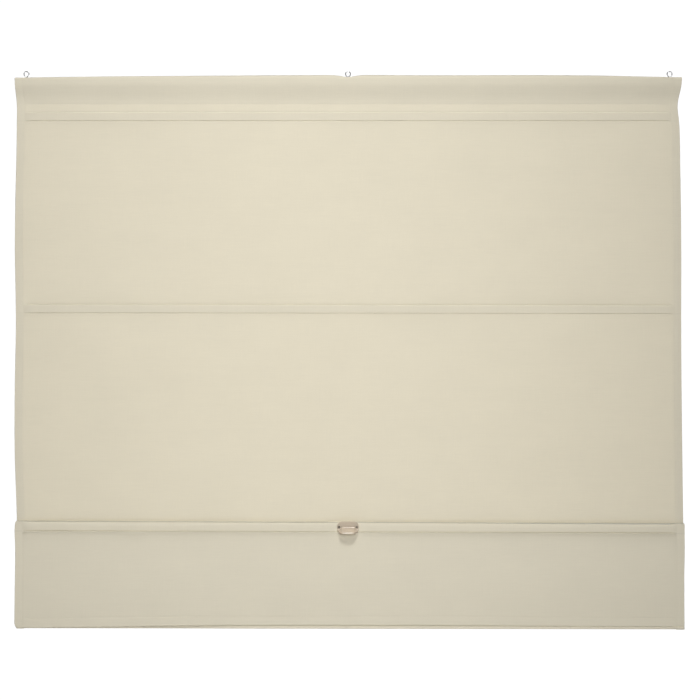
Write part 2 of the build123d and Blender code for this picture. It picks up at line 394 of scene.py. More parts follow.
def soft_curve(value, marks):
    """A smooth line through a few (place, amount) marks."""
    places = np.array([place for place, _ in marks])
    amounts = np.array([amount for _, amount in marks])
    order = np.argsort(places)
    places, amounts = places[order], amounts[order]
    at = np.clip(np.searchsorted(places, value) - 1, 0, len(places) - 2)
    t = np.clip((value - places[at]) / (places[at + 1] - places[at]), 0.0, 1.0)
    slopes = np.gradient(amounts, places)
    gap = places[at + 1] - places[at]
    start = (1 + 2 * t) * (1 - t) ** 2 * amounts[at] + t * (1 - t) ** 2 * gap * slopes[at]
    end = t ** 2 * (3 - 2 * t) * amounts[at + 1] + t ** 2 * (t - 1) * gap * slopes[at + 1]
    return start + end


def span_lengths(points):
    return np.linalg.norm(np.diff(points, axis=0), axis=1)


def rounded(corners):
    """The line through (y, z, radius) corners with its corners rounded, finely divided."""
    points = [np.array(corners[0][:2])]
    for before, (y, z, radius), after in zip(corners, corners[1:], corners[2:]):
        corner = np.array((y, z))
        way_in = corner - np.array(before[:2])
        way_out = np.array(after[:2]) - corner
        way_in /= np.linalg.norm(way_in)
        way_out /= np.linalg.norm(way_out)
        turn = np.arctan2(way_in[0] * way_out[1] - way_in[1] * way_out[0], way_in @ way_out)
        reach = radius * np.tan(abs(turn) / 2)
        start = corner - way_in * reach
        side = np.array((-way_in[1], way_in[0])) * np.sign(turn)
        steps = max(4, int(abs(turn) / radians(4)))
        for angle in np.linspace(0, abs(turn), steps + 1):
            points.append(start + way_in * radius * sin(angle)
                          + side * radius * (1 - cos(angle)))
    points.append(np.array(corners[-1][:2]))
    return np.array(points)


class Profile:
    """The cloth's section from its facing to its hem, by length along the cloth."""

    def __init__(self, corners):
        points = rounded(corners)
        moved = np.append(True, span_lengths(points) > 1e-7)
        self.points = points[moved]
        self.s = np.append(0.0, np.cumsum(span_lengths(self.points)))
        self.length = self.s[-1]

    def place(self, s):
        """(y, z) at a length along the cloth."""
        s = np.clip(s, 0, self.length)
        return [np.interp(s, self.s, axis) for axis in self.points.T]

    def at(self, s):
        """(y, z) and the way along the cloth there."""
        step = 0.05 * MM
        y, z = self.place(s)
        back_y, back_z = self.place(s - step)
        ahead_y, ahead_z = self.place(s + step)
        dy, dz = ahead_y - back_y, ahead_z - back_z
        size = np.hypot(dy, dz)
        return y, z, dy / size, dz / size

    def find(self, y, z):
        """The length at which the cloth passes nearest to a place."""
        fine = np.linspace(0, self.length, 20000)
        fy, fz = self.place(fine)
        return fine[np.argmin((fy - y) ** 2 + (fz - z) ** 2)]


def centre(node):
    low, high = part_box(node)
    return (low + high) / 2


# All in mm: how far a pocket's upper seam draws the cloth in and how high that reaches,
# how far the cloth hangs out below the pocket and how deep that reaches, and the height
# over which it fills out under the upper seam.
Pocket = namedtuple("Pocket", "draw draw_reach hang hang_reach rise")


class Cloth:
    """The whole cloth as one surface over its flat cut.

    x runs across the cloth and s along it, from its facing behind the head to its hem."""

    POCKETS = (Pocket(0.35, 9.0, 1.2, 6.5, 1.5), Pocket(1.7, 9.0, 1.3, 6.5, 1.5),
               Pocket(1.7, 8.0, 0.0, 6.5, 1.5), Pocket(2.1, 2.0, 4.6, 7.0, 4.5))

    # Sides' stray: (height in m, outward in mm), for the panel and the skirt.
    LEFT_PANEL = ((-0.01, -0.7), (-0.03, -1.2), (-0.066, -3.6), (-0.12, -3.4), (-0.29, -0.2),
                  (-0.37, 0.6), (-0.52, -1.6), (-0.66, 0.8), (-0.79, 0.8), (-0.93, -3.6))
    RIGHT_PANEL = ((-0.01, 0.9), (-0.03, -1.0), (-0.066, -7.0), (-0.10, -4.0), (-0.20, -1.6),
                   (-0.37, 0.8), (-0.52, 0.6), (-0.70, 2.0), (-0.93, 4.8))
    LEFT_SKIRT = ((-0.94, -2.1), (-0.955, -0.4), (-1.0, -1.6), (-1.05, -1.9), (-1.16, -1.0))
    RIGHT_SKIRT = ((-0.94, 6.8), (-1.0, 6.4), (-1.05, 4.7), (-1.16, 4.8))

    # Loose cloth over the batten: (place across, -1 to 1, share of its full height).
    HEAD_LINE = ((-1.0, 0.05), (-0.86, 0.32), (-0.74, 0.55), (-0.5, 0.76), (-0.32, 0.9),
                 (-0.14, 1.0), (0.1, 1.05), (0.16, 1.0), (0.64, 0.98), (0.76, 0.86),
                 (0.88, 0.55), (1.0, 0.25))

    def __init__(self, sizes):
        self.sizes = sizes
        t, gap = sizes.cloth_t, sizes.soft_gap
        low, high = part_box("fabric_panel")
        batten_low, batten_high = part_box("head_batten")
        bar_low, bar_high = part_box("bottom_weight_bar")
        self.half = high.x
        self.eye_x = centre("screw_eye_right").x
        self.dimple_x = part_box("screw_eye_right")[0].x + 6 * MM
        self.magnet_x = centre("magnet_1_left").x
        self.head_top = high.z
        self.slats = [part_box("slat_%d" % number) for number in (1, 2, 3, 4)]
        self.middles = [centre("slat_%d" % number).z for number in (1, 2, 3, 4)]
        self.panel_y = self.slats[0][0].y - gap - t / 2
        self.skirt_y = self.slats[RAISED][0].y - gap - t / 2
        self.foot_y = bar_low.y - gap - t / 2
        self.hem_y = bar_high.y + gap + t / 2
        self.skirt_end = bar_low.z - gap - t
        self.ridge_z = self.middles[RAISED] + sizes.pocket_height / 2 + 2.5 * MM
        self.toe_y = self.foot_y + 0.6 * MM
        self.loop_front_y = self.panel_y - sizes.loop_front
        self.loop_bottom = low.z
        self.casing_y = batten_high.y + gap + 1.5 * t
        self.casing_foot = batten_low.z - gap - t
        rear_taper, front_taper = 12.3 * MM, 22 * MM
        self.facing_start = self.casing_foot - rear_taper
        self.panel_start = self.casing_foot - front_taper
        self.profile = Profile(self.corners())
        self.mark_places()

    def corners(self):
        """The section's (y, z, radius) corners, from the facing to the hem."""
        sizes, t = self.sizes, self.sizes.cloth_t
        facing_y = self.panel_y + 3 * t + sizes.soft_gap
        casing_top = self.head_top - t / 2
        rise_y = self.panel_y - t - sizes.soft_gap
        loop_back_y = self.panel_y + sizes.loop_back
        flare_top = self.ridge_z - sizes.pocket_height - sizes.flare_gap
        flare_foot = flare_top - sizes.flare
        loop_low = self.loop_bottom + t / 2
        ridge = self.ridge_z - t / 2
        hem_low = self.skirt_end + t / 2
        nearly = 0.05 * MM
        ridge_r = (rise_y - self.skirt_y) / 2 - nearly
        hem_r = (self.hem_y - self.foot_y) / 2 - nearly
        bend = 200 * MM
        foot_bend, top_bend = 7 * MM, 3.4 * MM
        return [
            (facing_y, self.head_top - sizes.facing_drop, 0.0),
            (facing_y, self.facing_start, foot_bend),
            (self.casing_y, self.casing_foot, foot_bend),
            (self.casing_y, casing_top, top_bend),
            (-self.casing_y, casing_top, top_bend),
            (-self.casing_y, self.casing_foot + 1 * MM, 38 * MM),
            (self.panel_y, self.panel_start, 82 * MM),
            (self.panel_y, flare_top, bend),
            (loop_back_y, flare_foot, bend),
            (loop_back_y, loop_low + 45 * MM, 120 * MM),
            (self.loop_front_y + 1 * MM, loop_low, 2 * MM),
            (self.toe_y, loop_low, 1.3 * MM),
            (self.toe_y, loop_low + 2.8 * MM, 1.3 * MM),
            (self.loop_front_y, loop_low + 9.5 * MM, 4 * MM),
            (self.loop_front_y, flare_foot, bend),
            (rise_y, flare_top, bend),
            (rise_y, ridge, ridge_r),
            (self.skirt_y, ridge, ridge_r),
            (self.skirt_y, flare_top, bend),
            (self.foot_y, flare_foot, bend),
            (self.foot_y, hem_low, hem_r),
            (self.hem_y, hem_low, hem_r),
            (self.hem_y, self.skirt_end + sizes.bottom_hem, 0.0),
        ]

    def mark_places(self):
        """Lengths along the cloth of the seams and bends."""
        find, half_pocket = self.profile.find, self.sizes.pocket_height / 2
        casing_middle = (self.head_top + self.casing_foot) / 2
        self.s_crown = find(0.0, self.head_top)
        self.s_front = find(-self.casing_y, casing_middle)
        self.s_panel = find(self.panel_y, self.panel_start)
        self.s_loop = find((self.loop_front_y + self.toe_y) / 2, self.loop_bottom)
        self.s_ridge = find(self.skirt_y, self.ridge_z)
        self.s_foot = find(self.foot_y, self.skirt_end)
        self.s_seams = []
        for number, middle in enumerate(self.middles):
            y = self.skirt_y if number == RAISED else self.panel_y
            lowered = 1.2 * MM if number == RAISED else 0.0
            self.s_seams.append([find(y, middle + half_pocket),
                                 find(y, middle - half_pocket - lowered)])
        lip = 2.5 * MM
        facing_end = self.head_top - self.sizes.facing_drop
        self.s_facing = lip
        self.s_facing_front = find(self.panel_y, facing_end + lip)
        self.s_hem_back = self.profile.length - lip
        self.s_hem_front = find(self.foot_y, self.skirt_end + self.sizes.bottom_hem - lip)

    # ---- how the hung cloth strays from its plain section ----

    def side_stray(self, x, z, s):
        """The sides' slow in-and-out line, in metres along X."""
        skirt = s > self.s_ridge
        left = np.where(skirt, soft_curve(z, self.LEFT_SKIRT), soft_curve(z, self.LEFT_PANEL))
        right = np.where(skirt, soft_curve(z, self.RIGHT_SKIRT), soft_curve(z, self.RIGHT_PANEL))
        outward = smooth(0.2, 1.0, np.abs(x) / self.half)
        return np.where(x < 0, -left, right) * MM * outward

    def lift(self, x, s):
        """How far the cloth is raised: over the batten, and where it hangs out of level."""
        u = x / self.half
        pressed = 1 - 0.66 * bell(x, 0.0, 18 * MM)
        for dimple in (-self.dimple_x, self.dimple_x):
            pressed = pressed - 0.2 * bell(x, dimple, 10 * MM)
        over = bell(s, self.s_crown, 15 * MM)
        crown = soft_curve(u, self.HEAD_LINE) * pressed * over * self.sizes.head_puff
        skirt_top = self.s_ridge + 60 * MM
        level = 1 - smooth(skirt_top, self.s_foot - 20 * MM, s)
        fall = smooth(self.s_front, self.s_loop, s)
        tilt = -2.6 * MM * u * fall * (1 - 0.6 * bell(s, self.s_loop, 120 * MM))
        sag = 4.6 * smooth(0.35, 0.97, -u) + 2.6 * smooth(0.2, 0.9, u)
        sag = sag * MM * smooth(skirt_top, self.s_foot, s)
        up = 1.2 * MM * bell(s, self.s_loop, 90 * MM) + 0.5 * MM * (1 - level)
        return crown + tilt * level - sag + up

    def seam_relief(self, s, upper, lower, pocket):
        """The cloth's section across one pocket: drawn in at both seams, full between them."""
        above, below, rise = s - upper, s - lower, pocket.rise * MM
        lead = np.where(above < 0, np.exp(above / (pocket.draw_reach * MM)),
                        np.exp(-above / (0.4 * rise)))
        band = smooth(0.0, rise, above) * (1 - smooth(-1.2 * MM, 0.0, below))
        hang = (np.exp(-np.clip(below, 0, None) / (pocket.hang_reach * MM))
                * smooth(-0.1 * MM, 1.0 * MM, below))
        notch = bell(below, 0.0, 0.75 * MM) + 0.6 * bell(above, 0.0, 0.7 * MM)
        filled = (0.9 * band - 0.55 * notch) * min(1.0, pocket.hang)
        return (-pocket.draw * lead + filled + pocket.hang * hang) * MM

    def slow_waves(self, x, s):
        """The hanging cloth's long waves, still at the seams, the fold's toe and the foot."""
        u, v = x / self.half, s / self.profile.length
        free = smooth(self.s_panel, self.s_panel + 60 * MM, s)
        free = free * smooth(24 * MM, 80 * MM, self.s_foot - s)
        free = free * (1 - bell(s, self.s_loop, 45 * MM))
        for upper, lower in self.s_seams:
            free = free * (1 - bell(s, (upper + lower) / 2, 26 * MM))
        waves = (0.55 * np.sin(5.1 * u + 2.0 + 7 * v) + 0.35 * np.sin(9.3 * u - 11 * v)
                 + 0.22 * np.sin(17.0 * u + 1.1 + 23 * v) + 0.18 * np.sin(3.0 * u - 41 * v))
        inside_fold = (s > self.s_seams[2][1] + 30 * MM) & (s < self.s_ridge)
        return waves * self.sizes.sway * free * np.where(inside_fold, 0.25, 1.0)

    def seams(self, x, s):
        """The pockets' sections and the puckers along every level seam."""
        u = x / self.half
        sewn = 1 - smooth(0.962, 0.978, np.abs(u))
        pucker = (np.sin(61 * u + 3 * np.sin(13 * u)) + 0.6 * np.sin(89 * u + 1.3)
                  + 0.5 * np.sin(37 * u)) * 0.13 * MM
        seam = np.zeros_like(s)
        for number, ((upper, lower), pocket) in enumerate(zip(self.s_seams, self.POCKETS)):
            relief = self.seam_relief(s, upper, lower, pocket)
            ripple = bell(s, lower + 6 * MM, 6 * MM) + bell(s, upper - 6 * MM, 5 * MM)
            if number == RAISED:    # the grip holds the cloth flat
                relief = relief * (1 - bell(x, 0.0, 26 * MM))
            seam += (relief + pucker * ripple * min(1.0, pocket.hang)) * sewn
        for place in (self.s_facing_front, self.s_hem_front):
            groove = 0.25 * MM * bell(s, place, 1.4 * MM)
            seam += (pucker * 0.7 * bell(s, place, 7 * MM) - groove) * sewn
        return seam

    def swell(self, x, s):
        """Waves, seams, side hems and two kinks, in metres towards the cloth's front."""
        hem_seam = self.half - self.sizes.side_hem + 2 * MM
        side = bell(np.abs(x), hem_seam, 1.6 * MM) * 0.3 * MM
        kink = (1.3 * MM * bell(x, self.magnet_x, 22 * MM)
                + 0.6 * MM * bell(x, 300 * MM, 18 * MM))
        kink = kink * bell(s, self.s_seams[RAISED][1] + 4 * MM, 4 * MM)
        return self.slow_waves(x, s) + self.seams(x, s) - side + kink

    def head_folds(self, x, s):
        """Soft creases that run down from the head, in metres towards the front."""
        u = x / self.half
        zone = bell(s, self.s_panel + 4 * MM, 26 * MM)
        folds = 0.5 * np.sin(13 * u + 0.6) + 0.3 * np.sin(29 * u + 2) + 0.2 * np.sin(53 * u)
        pinch = sum(bell(x, eye, 45 * MM) for eye in (-self.eye_x, 0.0, self.eye_x))
        return (folds * 0.7 - 0.8 * pinch) * zone * MM

    def soft_corners(self, x, s):
        """The cloth's rounded corners at its foot, its fold and the ridge's ends."""
        inward = np.zeros_like(s)
        corners = ((self.s_foot, 10 * MM, -1), (self.s_loop, 5 * MM, -1),
                   (self.s_ridge, 5 * MM, -1), (self.s_ridge, 4 * MM, 1), (self.s_foot, 2 * MM, 1))
        for place, radius, sign in corners:
            near = np.clip(1 - np.abs(s - place) / radius, 0, 1)
            drawn = radius * (1 - np.sqrt(1 - near ** 2 * 0.98)) * 0.8
            inward = inward - sign * drawn * smooth(0.975, 1.0, sign * x / self.half)
        return inward

    def middle(self, x, s):
        """Points of the cloth's middle surface, before its side hems are turned."""
        y, z, dy, dz = self.profile.at(s)
        front = self.swell(x, s) + self.head_folds(x, s)
        px = x + self.side_stray(x, z, s) + self.soft_corners(x, s)
        # The fold's toe looks out under the skirt, but draws back on the left.
        toe = (np.abs(s - self.s_loop) < 20 * MM) & (y < self.loop_front_y)
        kept = 1 - 0.88 * smooth(0.25, 0.6, -x / self.half)
        y = np.where(toe, self.loop_front_y + (y - self.loop_front_y) * kept, y)
        py = y + dz * front
        pz = z - dy * front + self.lift(x, s)
        return np.stack([px, py, pz], -1)

    def normal(self, x, s):
        """The way to the cloth's back."""
        step = 0.2 * MM
        across = self.middle(x + step, s) - self.middle(x - step, s)
        low = np.clip(s - step, 0, self.profile.length)
        high = np.clip(s + step, 0, self.profile.length)
        along = self.middle(x, high) - self.middle(x, low)
        back = np.cross(across, along)
        return back / np.linalg.norm(back, axis=-1, keepdims=True)

    def laid(self, across, s):
        """Points of the cloth with its side hems turned to the back."""
        turn_r = self.sizes.cloth_t * 0.62
        half_turn = pi * turn_r
        beyond = np.abs(across) - (self.half - turn_r)
        angle = np.clip(beyond / turn_r, 0, pi)
        past = np.clip(beyond - half_turn, 0, None)
        x = np.sign(across) * np.where(
            beyond > 0, self.half - turn_r + turn_r * np.sin(angle) - past, np.abs(across))
        behind = np.where(beyond > 0, turn_r * (1 - np.cos(angle)), 0.0)
        behind = behind - 0.12 * MM * smooth(4 * MM, 14 * MM, past)
        return self.middle(x, s) + self.normal(x, s) * behind[..., None]


def spread(total, base, features, ease):
    """Places from 0 to total, base apart and closer at (place, gap, reach) features."""
    fine = np.linspace(0, total, 30000)
    gap = np.full_like(fine, base)
    for place, least, reach in features:
        near = np.clip((np.abs(fine - place) - reach) / ease, 0, 1)
        gap = np.minimum(gap, least + (base - least) * near)
    count = np.append(0.0, np.cumsum((1 / gap[1:] + 1 / gap[:-1]) / 2 * np.diff(fine)))
    rows = int(np.ceil(count[-1]))
    return np.interp(np.linspace(0, count[-1], rows + 1), count, fine)


def link_mesh(name, points, faces, material, smooth_to=50.0):
    """A new object, smooth except at edges sharper than smooth_to degrees."""
    mesh = bpy.data.meshes.new(name)
    mesh.from_pydata(points, [], faces)
    mesh.polygons.foreach_set("use_smooth", [True] * len(mesh.polygons))
    mesh.set_sharp_from_angle(angle=radians(smooth_to))
    mesh.materials.append(material)
    made = bpy.data.objects.new(name, mesh)
    bpy.context.scene.collection.objects.link(made)
    return made


def shell(name, middle, thickness, cut, material):
    """A closed sheet about a grid of points, with its place on the flat cloth kept."""
    rows, columns = middle.shape[:2]
    across = np.gradient(middle, axis=1)
    along = np.gradient(middle, axis=0)
    back = np.cross(across, along)
    back /= np.linalg.norm(back, axis=-1, keepdims=True)
    at = np.arange(rows * columns).reshape(rows, columns)
    points = np.concatenate([
        (middle - back * thickness / 2).reshape(-1, 3),
        (middle + back * thickness / 2).reshape(-1, 3)])
    front = np.stack([at[:-1, :-1], at[1:, :-1], at[1:, 1:], at[:-1, 1:]], -1).reshape(-1, 4)
    rear = front[:, ::-1] + rows * columns
    rim = np.concatenate([at[0, :], at[1:, -1], at[-1, -2::-1], at[-2:0:-1, 0]])
    following = np.roll(rim, -1)
    edge = np.stack([rim, following, following + rows * columns, rim + rows * columns], -1)
    faces = np.concatenate([front, rear, edge])
    made = link_mesh(name, points, faces.tolist(), material)
    flat = np.concatenate([cut.reshape(-1, 2)] * 2)
    corner = np.zeros(len(made.data.loops), np.int32)
    made.data.loops.foreach_get("vertex_index", corner)
    layer = made.data.uv_layers.new(name="cut")
    layer.uv.foreach_set("vector", flat[corner].astype(np.float32).ravel())
    return made


def finished(piece, slot, *nodes):
    """A made piece rides with the blind, and the frame's nodes it stands for are hidden."""
    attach(piece, "root")
    if nodes:
        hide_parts(*nodes)
    return piece


def dress(node, material):
    """Give a node of the frame its finish."""
    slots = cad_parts[node].data.materials
    slots.clear()
    slots.append(material)


def stitches(places, normals, thread):
    """Short thread humps: each from one place to the next, in at both ends."""
    starts, ends = places[:-1], places[1:]
    way = ends - starts
    span = np.linalg.norm(way, axis=1, keepdims=True)
    way = way / span
    up = (normals[:-1] + normals[1:]) / 2
    up -= (up * way).sum(1, keepdims=True) * way
    up /= np.linalg.norm(up, axis=1, keepdims=True)
    side = np.cross(way, up)
    radius = thread / 2
    # (share of the stitch's length, height and thickness in thread radii)
    sections = [(0.04, -0.9, 0.55), (0.22, 0.35, 1.0), (0.5, 0.62, 1.05), (0.78, 0.35, 1.0),
                (0.96, -0.9, 0.55)]
    sides = 6
    rings = []
    for place, height, fat in sections:
        core = starts + way * span * place + up * radius * height
        for k in range(sides):
            angle = 2 * pi * k / sides
            rings.append(core + (side * cos(angle) + up * sin(angle)) * radius * fat)
    points = np.stack(rings, 1)
    count = len(sections) * sides
    pattern = []
    for ring in range(len(sections) - 1):
        for k in range(sides):
            a, b = ring * sides + k, ring * sides + (k + 1) % sides
            pattern.append((a, a + sides, b + sides, b))
    tips = [tuple(range(sides)), tuple(range(count - 1, count - sides - 1, -1))]
    faces = []
    for stitch in range(len(starts)):
        at = stitch * count
        faces += [tuple(at + corner for corner in face) for face in pattern + tips]
    return points.reshape(-1, 3), faces


def sew(name, runs, thread, material):
    """Several seams' stitches as one piece."""
    points, faces, used = [], [], 0
    for places, normals in runs:
        more, made = stitches(places, normals, thread)
        points.append(more)
        faces += [tuple(corner + used for corner in face) for face in made]
        used += len(more)
    finished(link_mesh(name, np.concatenate(points), faces, material, 80.0), "cloth")


def seam_run(cloth, x, s, side, layers=0.0):
    """Places and normals of a seam, on the cloth's front (-1) or back (1), over layers."""
    normal = cloth.normal(x, s)
    out = cloth.sizes.cloth_t / 2 + layers
    return cloth.middle(x, s) + normal * side * out, normal * side


# ---------------- operators

class BLIND_OT_cloth(bpy.types.Operator):
    """Make the cloth: head casing, panel, fold, raised pocket, skirt and turned hems"""
    bl_idname = "blind.cloth"
    bl_label = "Cloth"

    def execute(self, context):
        sizes, colours = context.scene.blind_sizes, context.scene.blind_colours
        cloth = Cloth(sizes)
        wide = cloth.half + sizes.side_hem
        u, s = np.meshgrid(self.columns(cloth, wide), self.rows(cloth))
        lower_seams = [pair[1] for pair in cloth.s_seams]
        # Painted shade along the raised pocket's ridge and the lower seams: the colour is darkened
        # there for the shade that the creases hold.
        painted_crease_shade = [(cloth.s_ridge, 2.8 * MM, 0.25),
                   (lower_seams[RAISED] + 0.6 * MM, 2.4 * MM, 0.06),
                   (lower_seams[1], 1.6 * MM, 0.03), (lower_seams[0], 1.6 * MM, 0.03)]
        piece = shell("cloth", cloth.laid(u, s), sizes.cloth_t, np.stack([u, s], -1),
                      cloth_material(colours, painted_crease_shade))
        finished(piece, "cloth", "fabric_panel")
        return {"FINISHED"}

    def columns(self, cloth, wide):
        """Places across the flat cloth, closer at the sides, the hems' seams and the eyes."""
        features = []
        for sign in (-1, 1):
            hem_edge = cloth.half - cloth.sizes.side_hem
            features += [(sign * cloth.half + wide, 0.35 * MM, 0.9 * MM),
                         (sign * hem_edge + wide, 1.5 * MM, 1.5 * MM)]
        features += [(eye + wide, 4 * MM, 12 * MM) for eye in (-cloth.eye_x, 0.0, cloth.eye_x)]
        features += [(cloth.magnet_x + wide, 6 * MM, 12 * MM)]
        return spread(2 * wide, 13 * MM, features, 12 * MM) - wide

    def rows(self, cloth):
        """Places along the cloth, closer at its bends and seams."""
        bend = 12 * MM
        features = [(cloth.s_crown - bend, 1.1 * MM, 3 * MM),
                    (cloth.s_crown + bend, 1.1 * MM, 3 * MM),
                    (cloth.s_crown, 3 * MM, 22 * MM), (cloth.s_loop, 0.6 * MM, 9 * MM),
                    (cloth.s_ridge, 0.5 * MM, 3.2 * MM), (cloth.s_foot, 0.45 * MM, 2.5 * MM)]
        features += [(s, 0.4 * MM, 1.2 * MM) for pair in cloth.s_seams for s in pair]
        features += [(s, 0.9 * MM, 1 * MM) for s in (cloth.s_facing_front, cloth.s_hem_front)]
        return spread(cloth.profile.length, 18 * MM, features, 20 * MM)


class BLIND_OT_tapes(bpy.types.Operator):
    """Make the woven tapes that hold the slats behind the cloth"""
    bl_idname = "blind.tapes"
    bl_label = "Pocket tapes"

    def execute(self, context):
        sizes, colours = context.scene.blind_sizes, context.scene.blind_colours
        cloth = Cloth(sizes)
        material = tape_material(colours)
        inner = cloth.half - sizes.side_hem - 1 * MM
        x = np.linspace(-inner, inner, 181)
        for number in range(len(cloth.s_seams)):
            name = "pocket_tape_%d" % (number + 1)
            grid_x, grid_s = np.meshgrid(x, self.rows(cloth, number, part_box(name)[1].z))
            points = self.points(cloth, number, grid_x, grid_s)
            piece = shell(name + "_woven", points, sizes.tape_t, np.stack([grid_x, grid_s], -1),
                          material)
            finished(piece, "tape", name)
            width = float(span_lengths(points[:, len(x) // 2]).sum())
        return {"FINISHED"}

    def rows(self, cloth, number, tape_top):
        """Places along the cloth from a tape's upper edge to its lower edge."""
        sizes = cloth.sizes
        upper, lower = cloth.s_seams[number]
        room = tape_top - cloth.middles[number] - sizes.pocket_height / 2
        top = upper - min(sizes.tape_flange, room)
        seams = [(seam - top, 0.5 * MM, 2.4 * MM) for seam in (upper, lower)]
        return spread(lower + sizes.tape_flange - top, 3 * MM, seams, 5 * MM) + top

    def points(self, cloth, number, x, s):
        """The tape's middle surface: flat against the cloth at both seams, out over the slat."""
        sizes = cloth.sizes
        low, high = cloth.slats[number]
        slat_half = (high.z - low.z) / 2
        rise = smooth(slat_half + 1.6 * MM, slat_half + 0.1 * MM,
                      np.abs(s - sum(cloth.s_seams[number]) / 2))
        flat = sizes.cloth_t / 2 + SEAM_GAP + sizes.tape_t / 2
        bulge = sizes.cloth_t / 2 + 2 * sizes.soft_gap + (high.y - low.y) + sizes.tape_t / 2
        plain = cloth.middle(x, s)
        over_slat = plain.copy()
        over_slat[..., 1] = ((cloth.skirt_y if number == RAISED else cloth.panel_y)
                             + (bulge + 0.12 * MM * np.sin(57 * x / cloth.half)))
        sewn = plain + cloth.normal(x, s) * flat
        return sewn * (1 - rise[..., None]) + over_slat * rise[..., None]


class BLIND_OT_stitching(bpy.types.Operator):
    """Sew the seams of the head, the pockets, the hem and both sides"""
    bl_idname = "blind.stitching"
    bl_label = "Stitching"

    def execute(self, context):
        sizes, colours = context.scene.blind_sizes, context.scene.blind_colours
        cloth = Cloth(sizes)
        material = thread_material(colours)
        inner = cloth.half - sizes.side_hem - 2 * MM
        x = np.linspace(-inner, inner, int(2 * inner / sizes.stitch) + 1)

        def level(s, side, layers=0.0):
            return seam_run(cloth, x, np.full_like(x, s), side, layers)

        for number, pair in enumerate(cloth.s_seams):
            runs = []
            for s in pair:
                runs += [level(s, -1), level(s, 1, sizes.tape_t + SEAM_GAP)]
            sew("pocket_%d_stitching" % (number + 1), runs, sizes.thread, material)
        for name, front, back in (("head", cloth.s_facing_front, cloth.s_facing),
                                  ("hem", cloth.s_hem_front, cloth.s_hem_back)):
            sew(name + "_stitching", [level(front, -1), level(back, -1)], sizes.thread, material)
        sew("side_stitching", self.sides(cloth), sizes.thread, material)
        return {"FINISHED"}

    def sides(self, cloth):
        """The side hems' seams, on the cloth's front and over the hem on its back."""
        sizes, full = cloth.sizes, cloth.profile.length
        s = np.linspace(1.5 * MM, full - 1.5 * MM, int(full / sizes.stitch))
        hem_back = 1.24 * sizes.cloth_t
        runs = []
        for sign in (-1, 1):
            x = np.full_like(s, sign * (cloth.half - sizes.side_hem + 2 * MM))
            runs += [seam_run(cloth, x, s, -1), seam_run(cloth, x, s, 1, hem_back)]
        return runs


class BLIND_OT_slats(bpy.types.Operator):
    """Finish the four slats and their magnets"""
    bl_idname = "blind.slats"
    bl_label = "Slats and magnets"

    def execute(self, context):
        colours = context.scene.blind_colours
        plastic = slat_material(colours)
        nickel = plated_material("nickel_plate", colours.magnet, 0.18, (700.0, 700.0, 700.0))
        for number in (1, 2, 3, 4):
            dress("slat_%d" % number, plastic)
            for side in ("left", "right"):
                dress("magnet_%d_%s" % (number, side), nickel)
        return {"FINISHED"}


class BLIND_OT_head(bpy.types.Operator):
    """Finish the batten and its three screw eyes"""
    bl_idname = "blind.head"
    bl_label = "Batten and screw eyes"

    def execute(self, context):
        colours = context.scene.blind_colours
        dress("head_batten", wood_material(colours))
        zinc = plated_material("zinc_plate", colours.wire, 0.24, (900.0, 900.0, 300.0))
        for side in ("left", "centre", "right"):
            dress("screw_eye_" + side, zinc)
        return {"FINISHED"}


class BLIND_OT_weight(bpy.types.Operator):
    """Finish the weight bar in the lower hem"""
    bl_idname = "blind.weight"
    bl_label = "Weight bar"

    def execute(self, context):
        colours = context.scene.blind_colours
        steel = plated_material("galvanised_bar", colours.bar, 0.32, (14.0, 800.0, 800.0), 0.15)
        dress("bottom_weight_bar", steel)
        return {"FINISHED"}


class BLIND_OT_grip(bpy.types.Operator):
    """Make the hooded pull with its painted lip highlight, and finish its two screws"""
    bl_idname = "blind.grip"
    bl_label = "Grip"

    # Half width, as a share of the full one, down the grip from 0 to 1.
    OUTLINE = ((0.0, 0.6), (0.04, 0.75), (0.12, 0.87), (0.24, 0.955), (0.36, 0.99), (0.5, 1.0),
               (0.68, 0.985), (0.82, 0.92), (0.92, 0.8), (1.0, 0.64))
    # How far the hood stands out, from where it starts at 0 to its lip at 1.
    HOOD = ((-0.01, 0.0), (0.0, 0.0), (0.12, 0.03), (0.5, 0.47), (0.8, 0.9), (0.92, 0.99),
            (1.0, 1.0))

    def execute(self, context):
        colours = context.scene.blind_colours
        middle, thickness = self.shape(*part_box("grip_pull"))
        piece = shell("grip", middle, thickness, middle[..., ::2], grip_material(colours))
        finished(piece, "grip_plastic", "grip_pull")
        steel = plated_material("dark_steel", colours.screw, 0.3, (900.0, 900.0, 900.0))
        for side in ("left", "right"):
            dress("grip_screw_" + side, steel)
        return {"FINISHED"}

    def shape(self, low, high):
        """A back plate, a groove, and a hood that ramps out to the lip."""
        thick = 2.1 * MM
        plate_y = high.y - 0.1 * MM - thick / 2
        lip_y = low.y + thick / 2 + 0.2 * MM
        top, foot = high.z + 2.6 * MM, low.z + 4 * MM
        u, v = np.meshgrid(np.sin(np.linspace(-1, 1, 81) * pi / 2),
                           (1 - np.cos(np.linspace(0, 1, 91) * pi)) / 2)
        half = high.x * soft_curve(v, self.OUTLINE)
        z = top + (foot - top) * v
        start = top - 11.2 * MM - 4.4 * MM * smooth(0.58, 0.74, np.abs(u))
        hood = soft_curve(np.clip((start - z) / (start - foot), 0, 1), self.HOOD)
        sides = 1 - 0.4 * np.abs(u) ** 4
        groove = 0.8 * MM * bell(z - start, 0.0, 0.75 * MM) * (1 - smooth(0.6, 0.75, np.abs(u)))
        y = plate_y - (plate_y - lip_y) * hood * sides + groove
        rim = np.minimum(half * (1 - np.abs(u)), np.minimum(v, 1 - v) * (top - foot))
        near = np.clip(1 - rim / (thick / 2), 0, 1)
        thickness = thick * np.clip(np.sqrt(1 - near ** 2), 0.12, 1)
        return np.stack([u * half, y, z], -1), thickness[..., None]


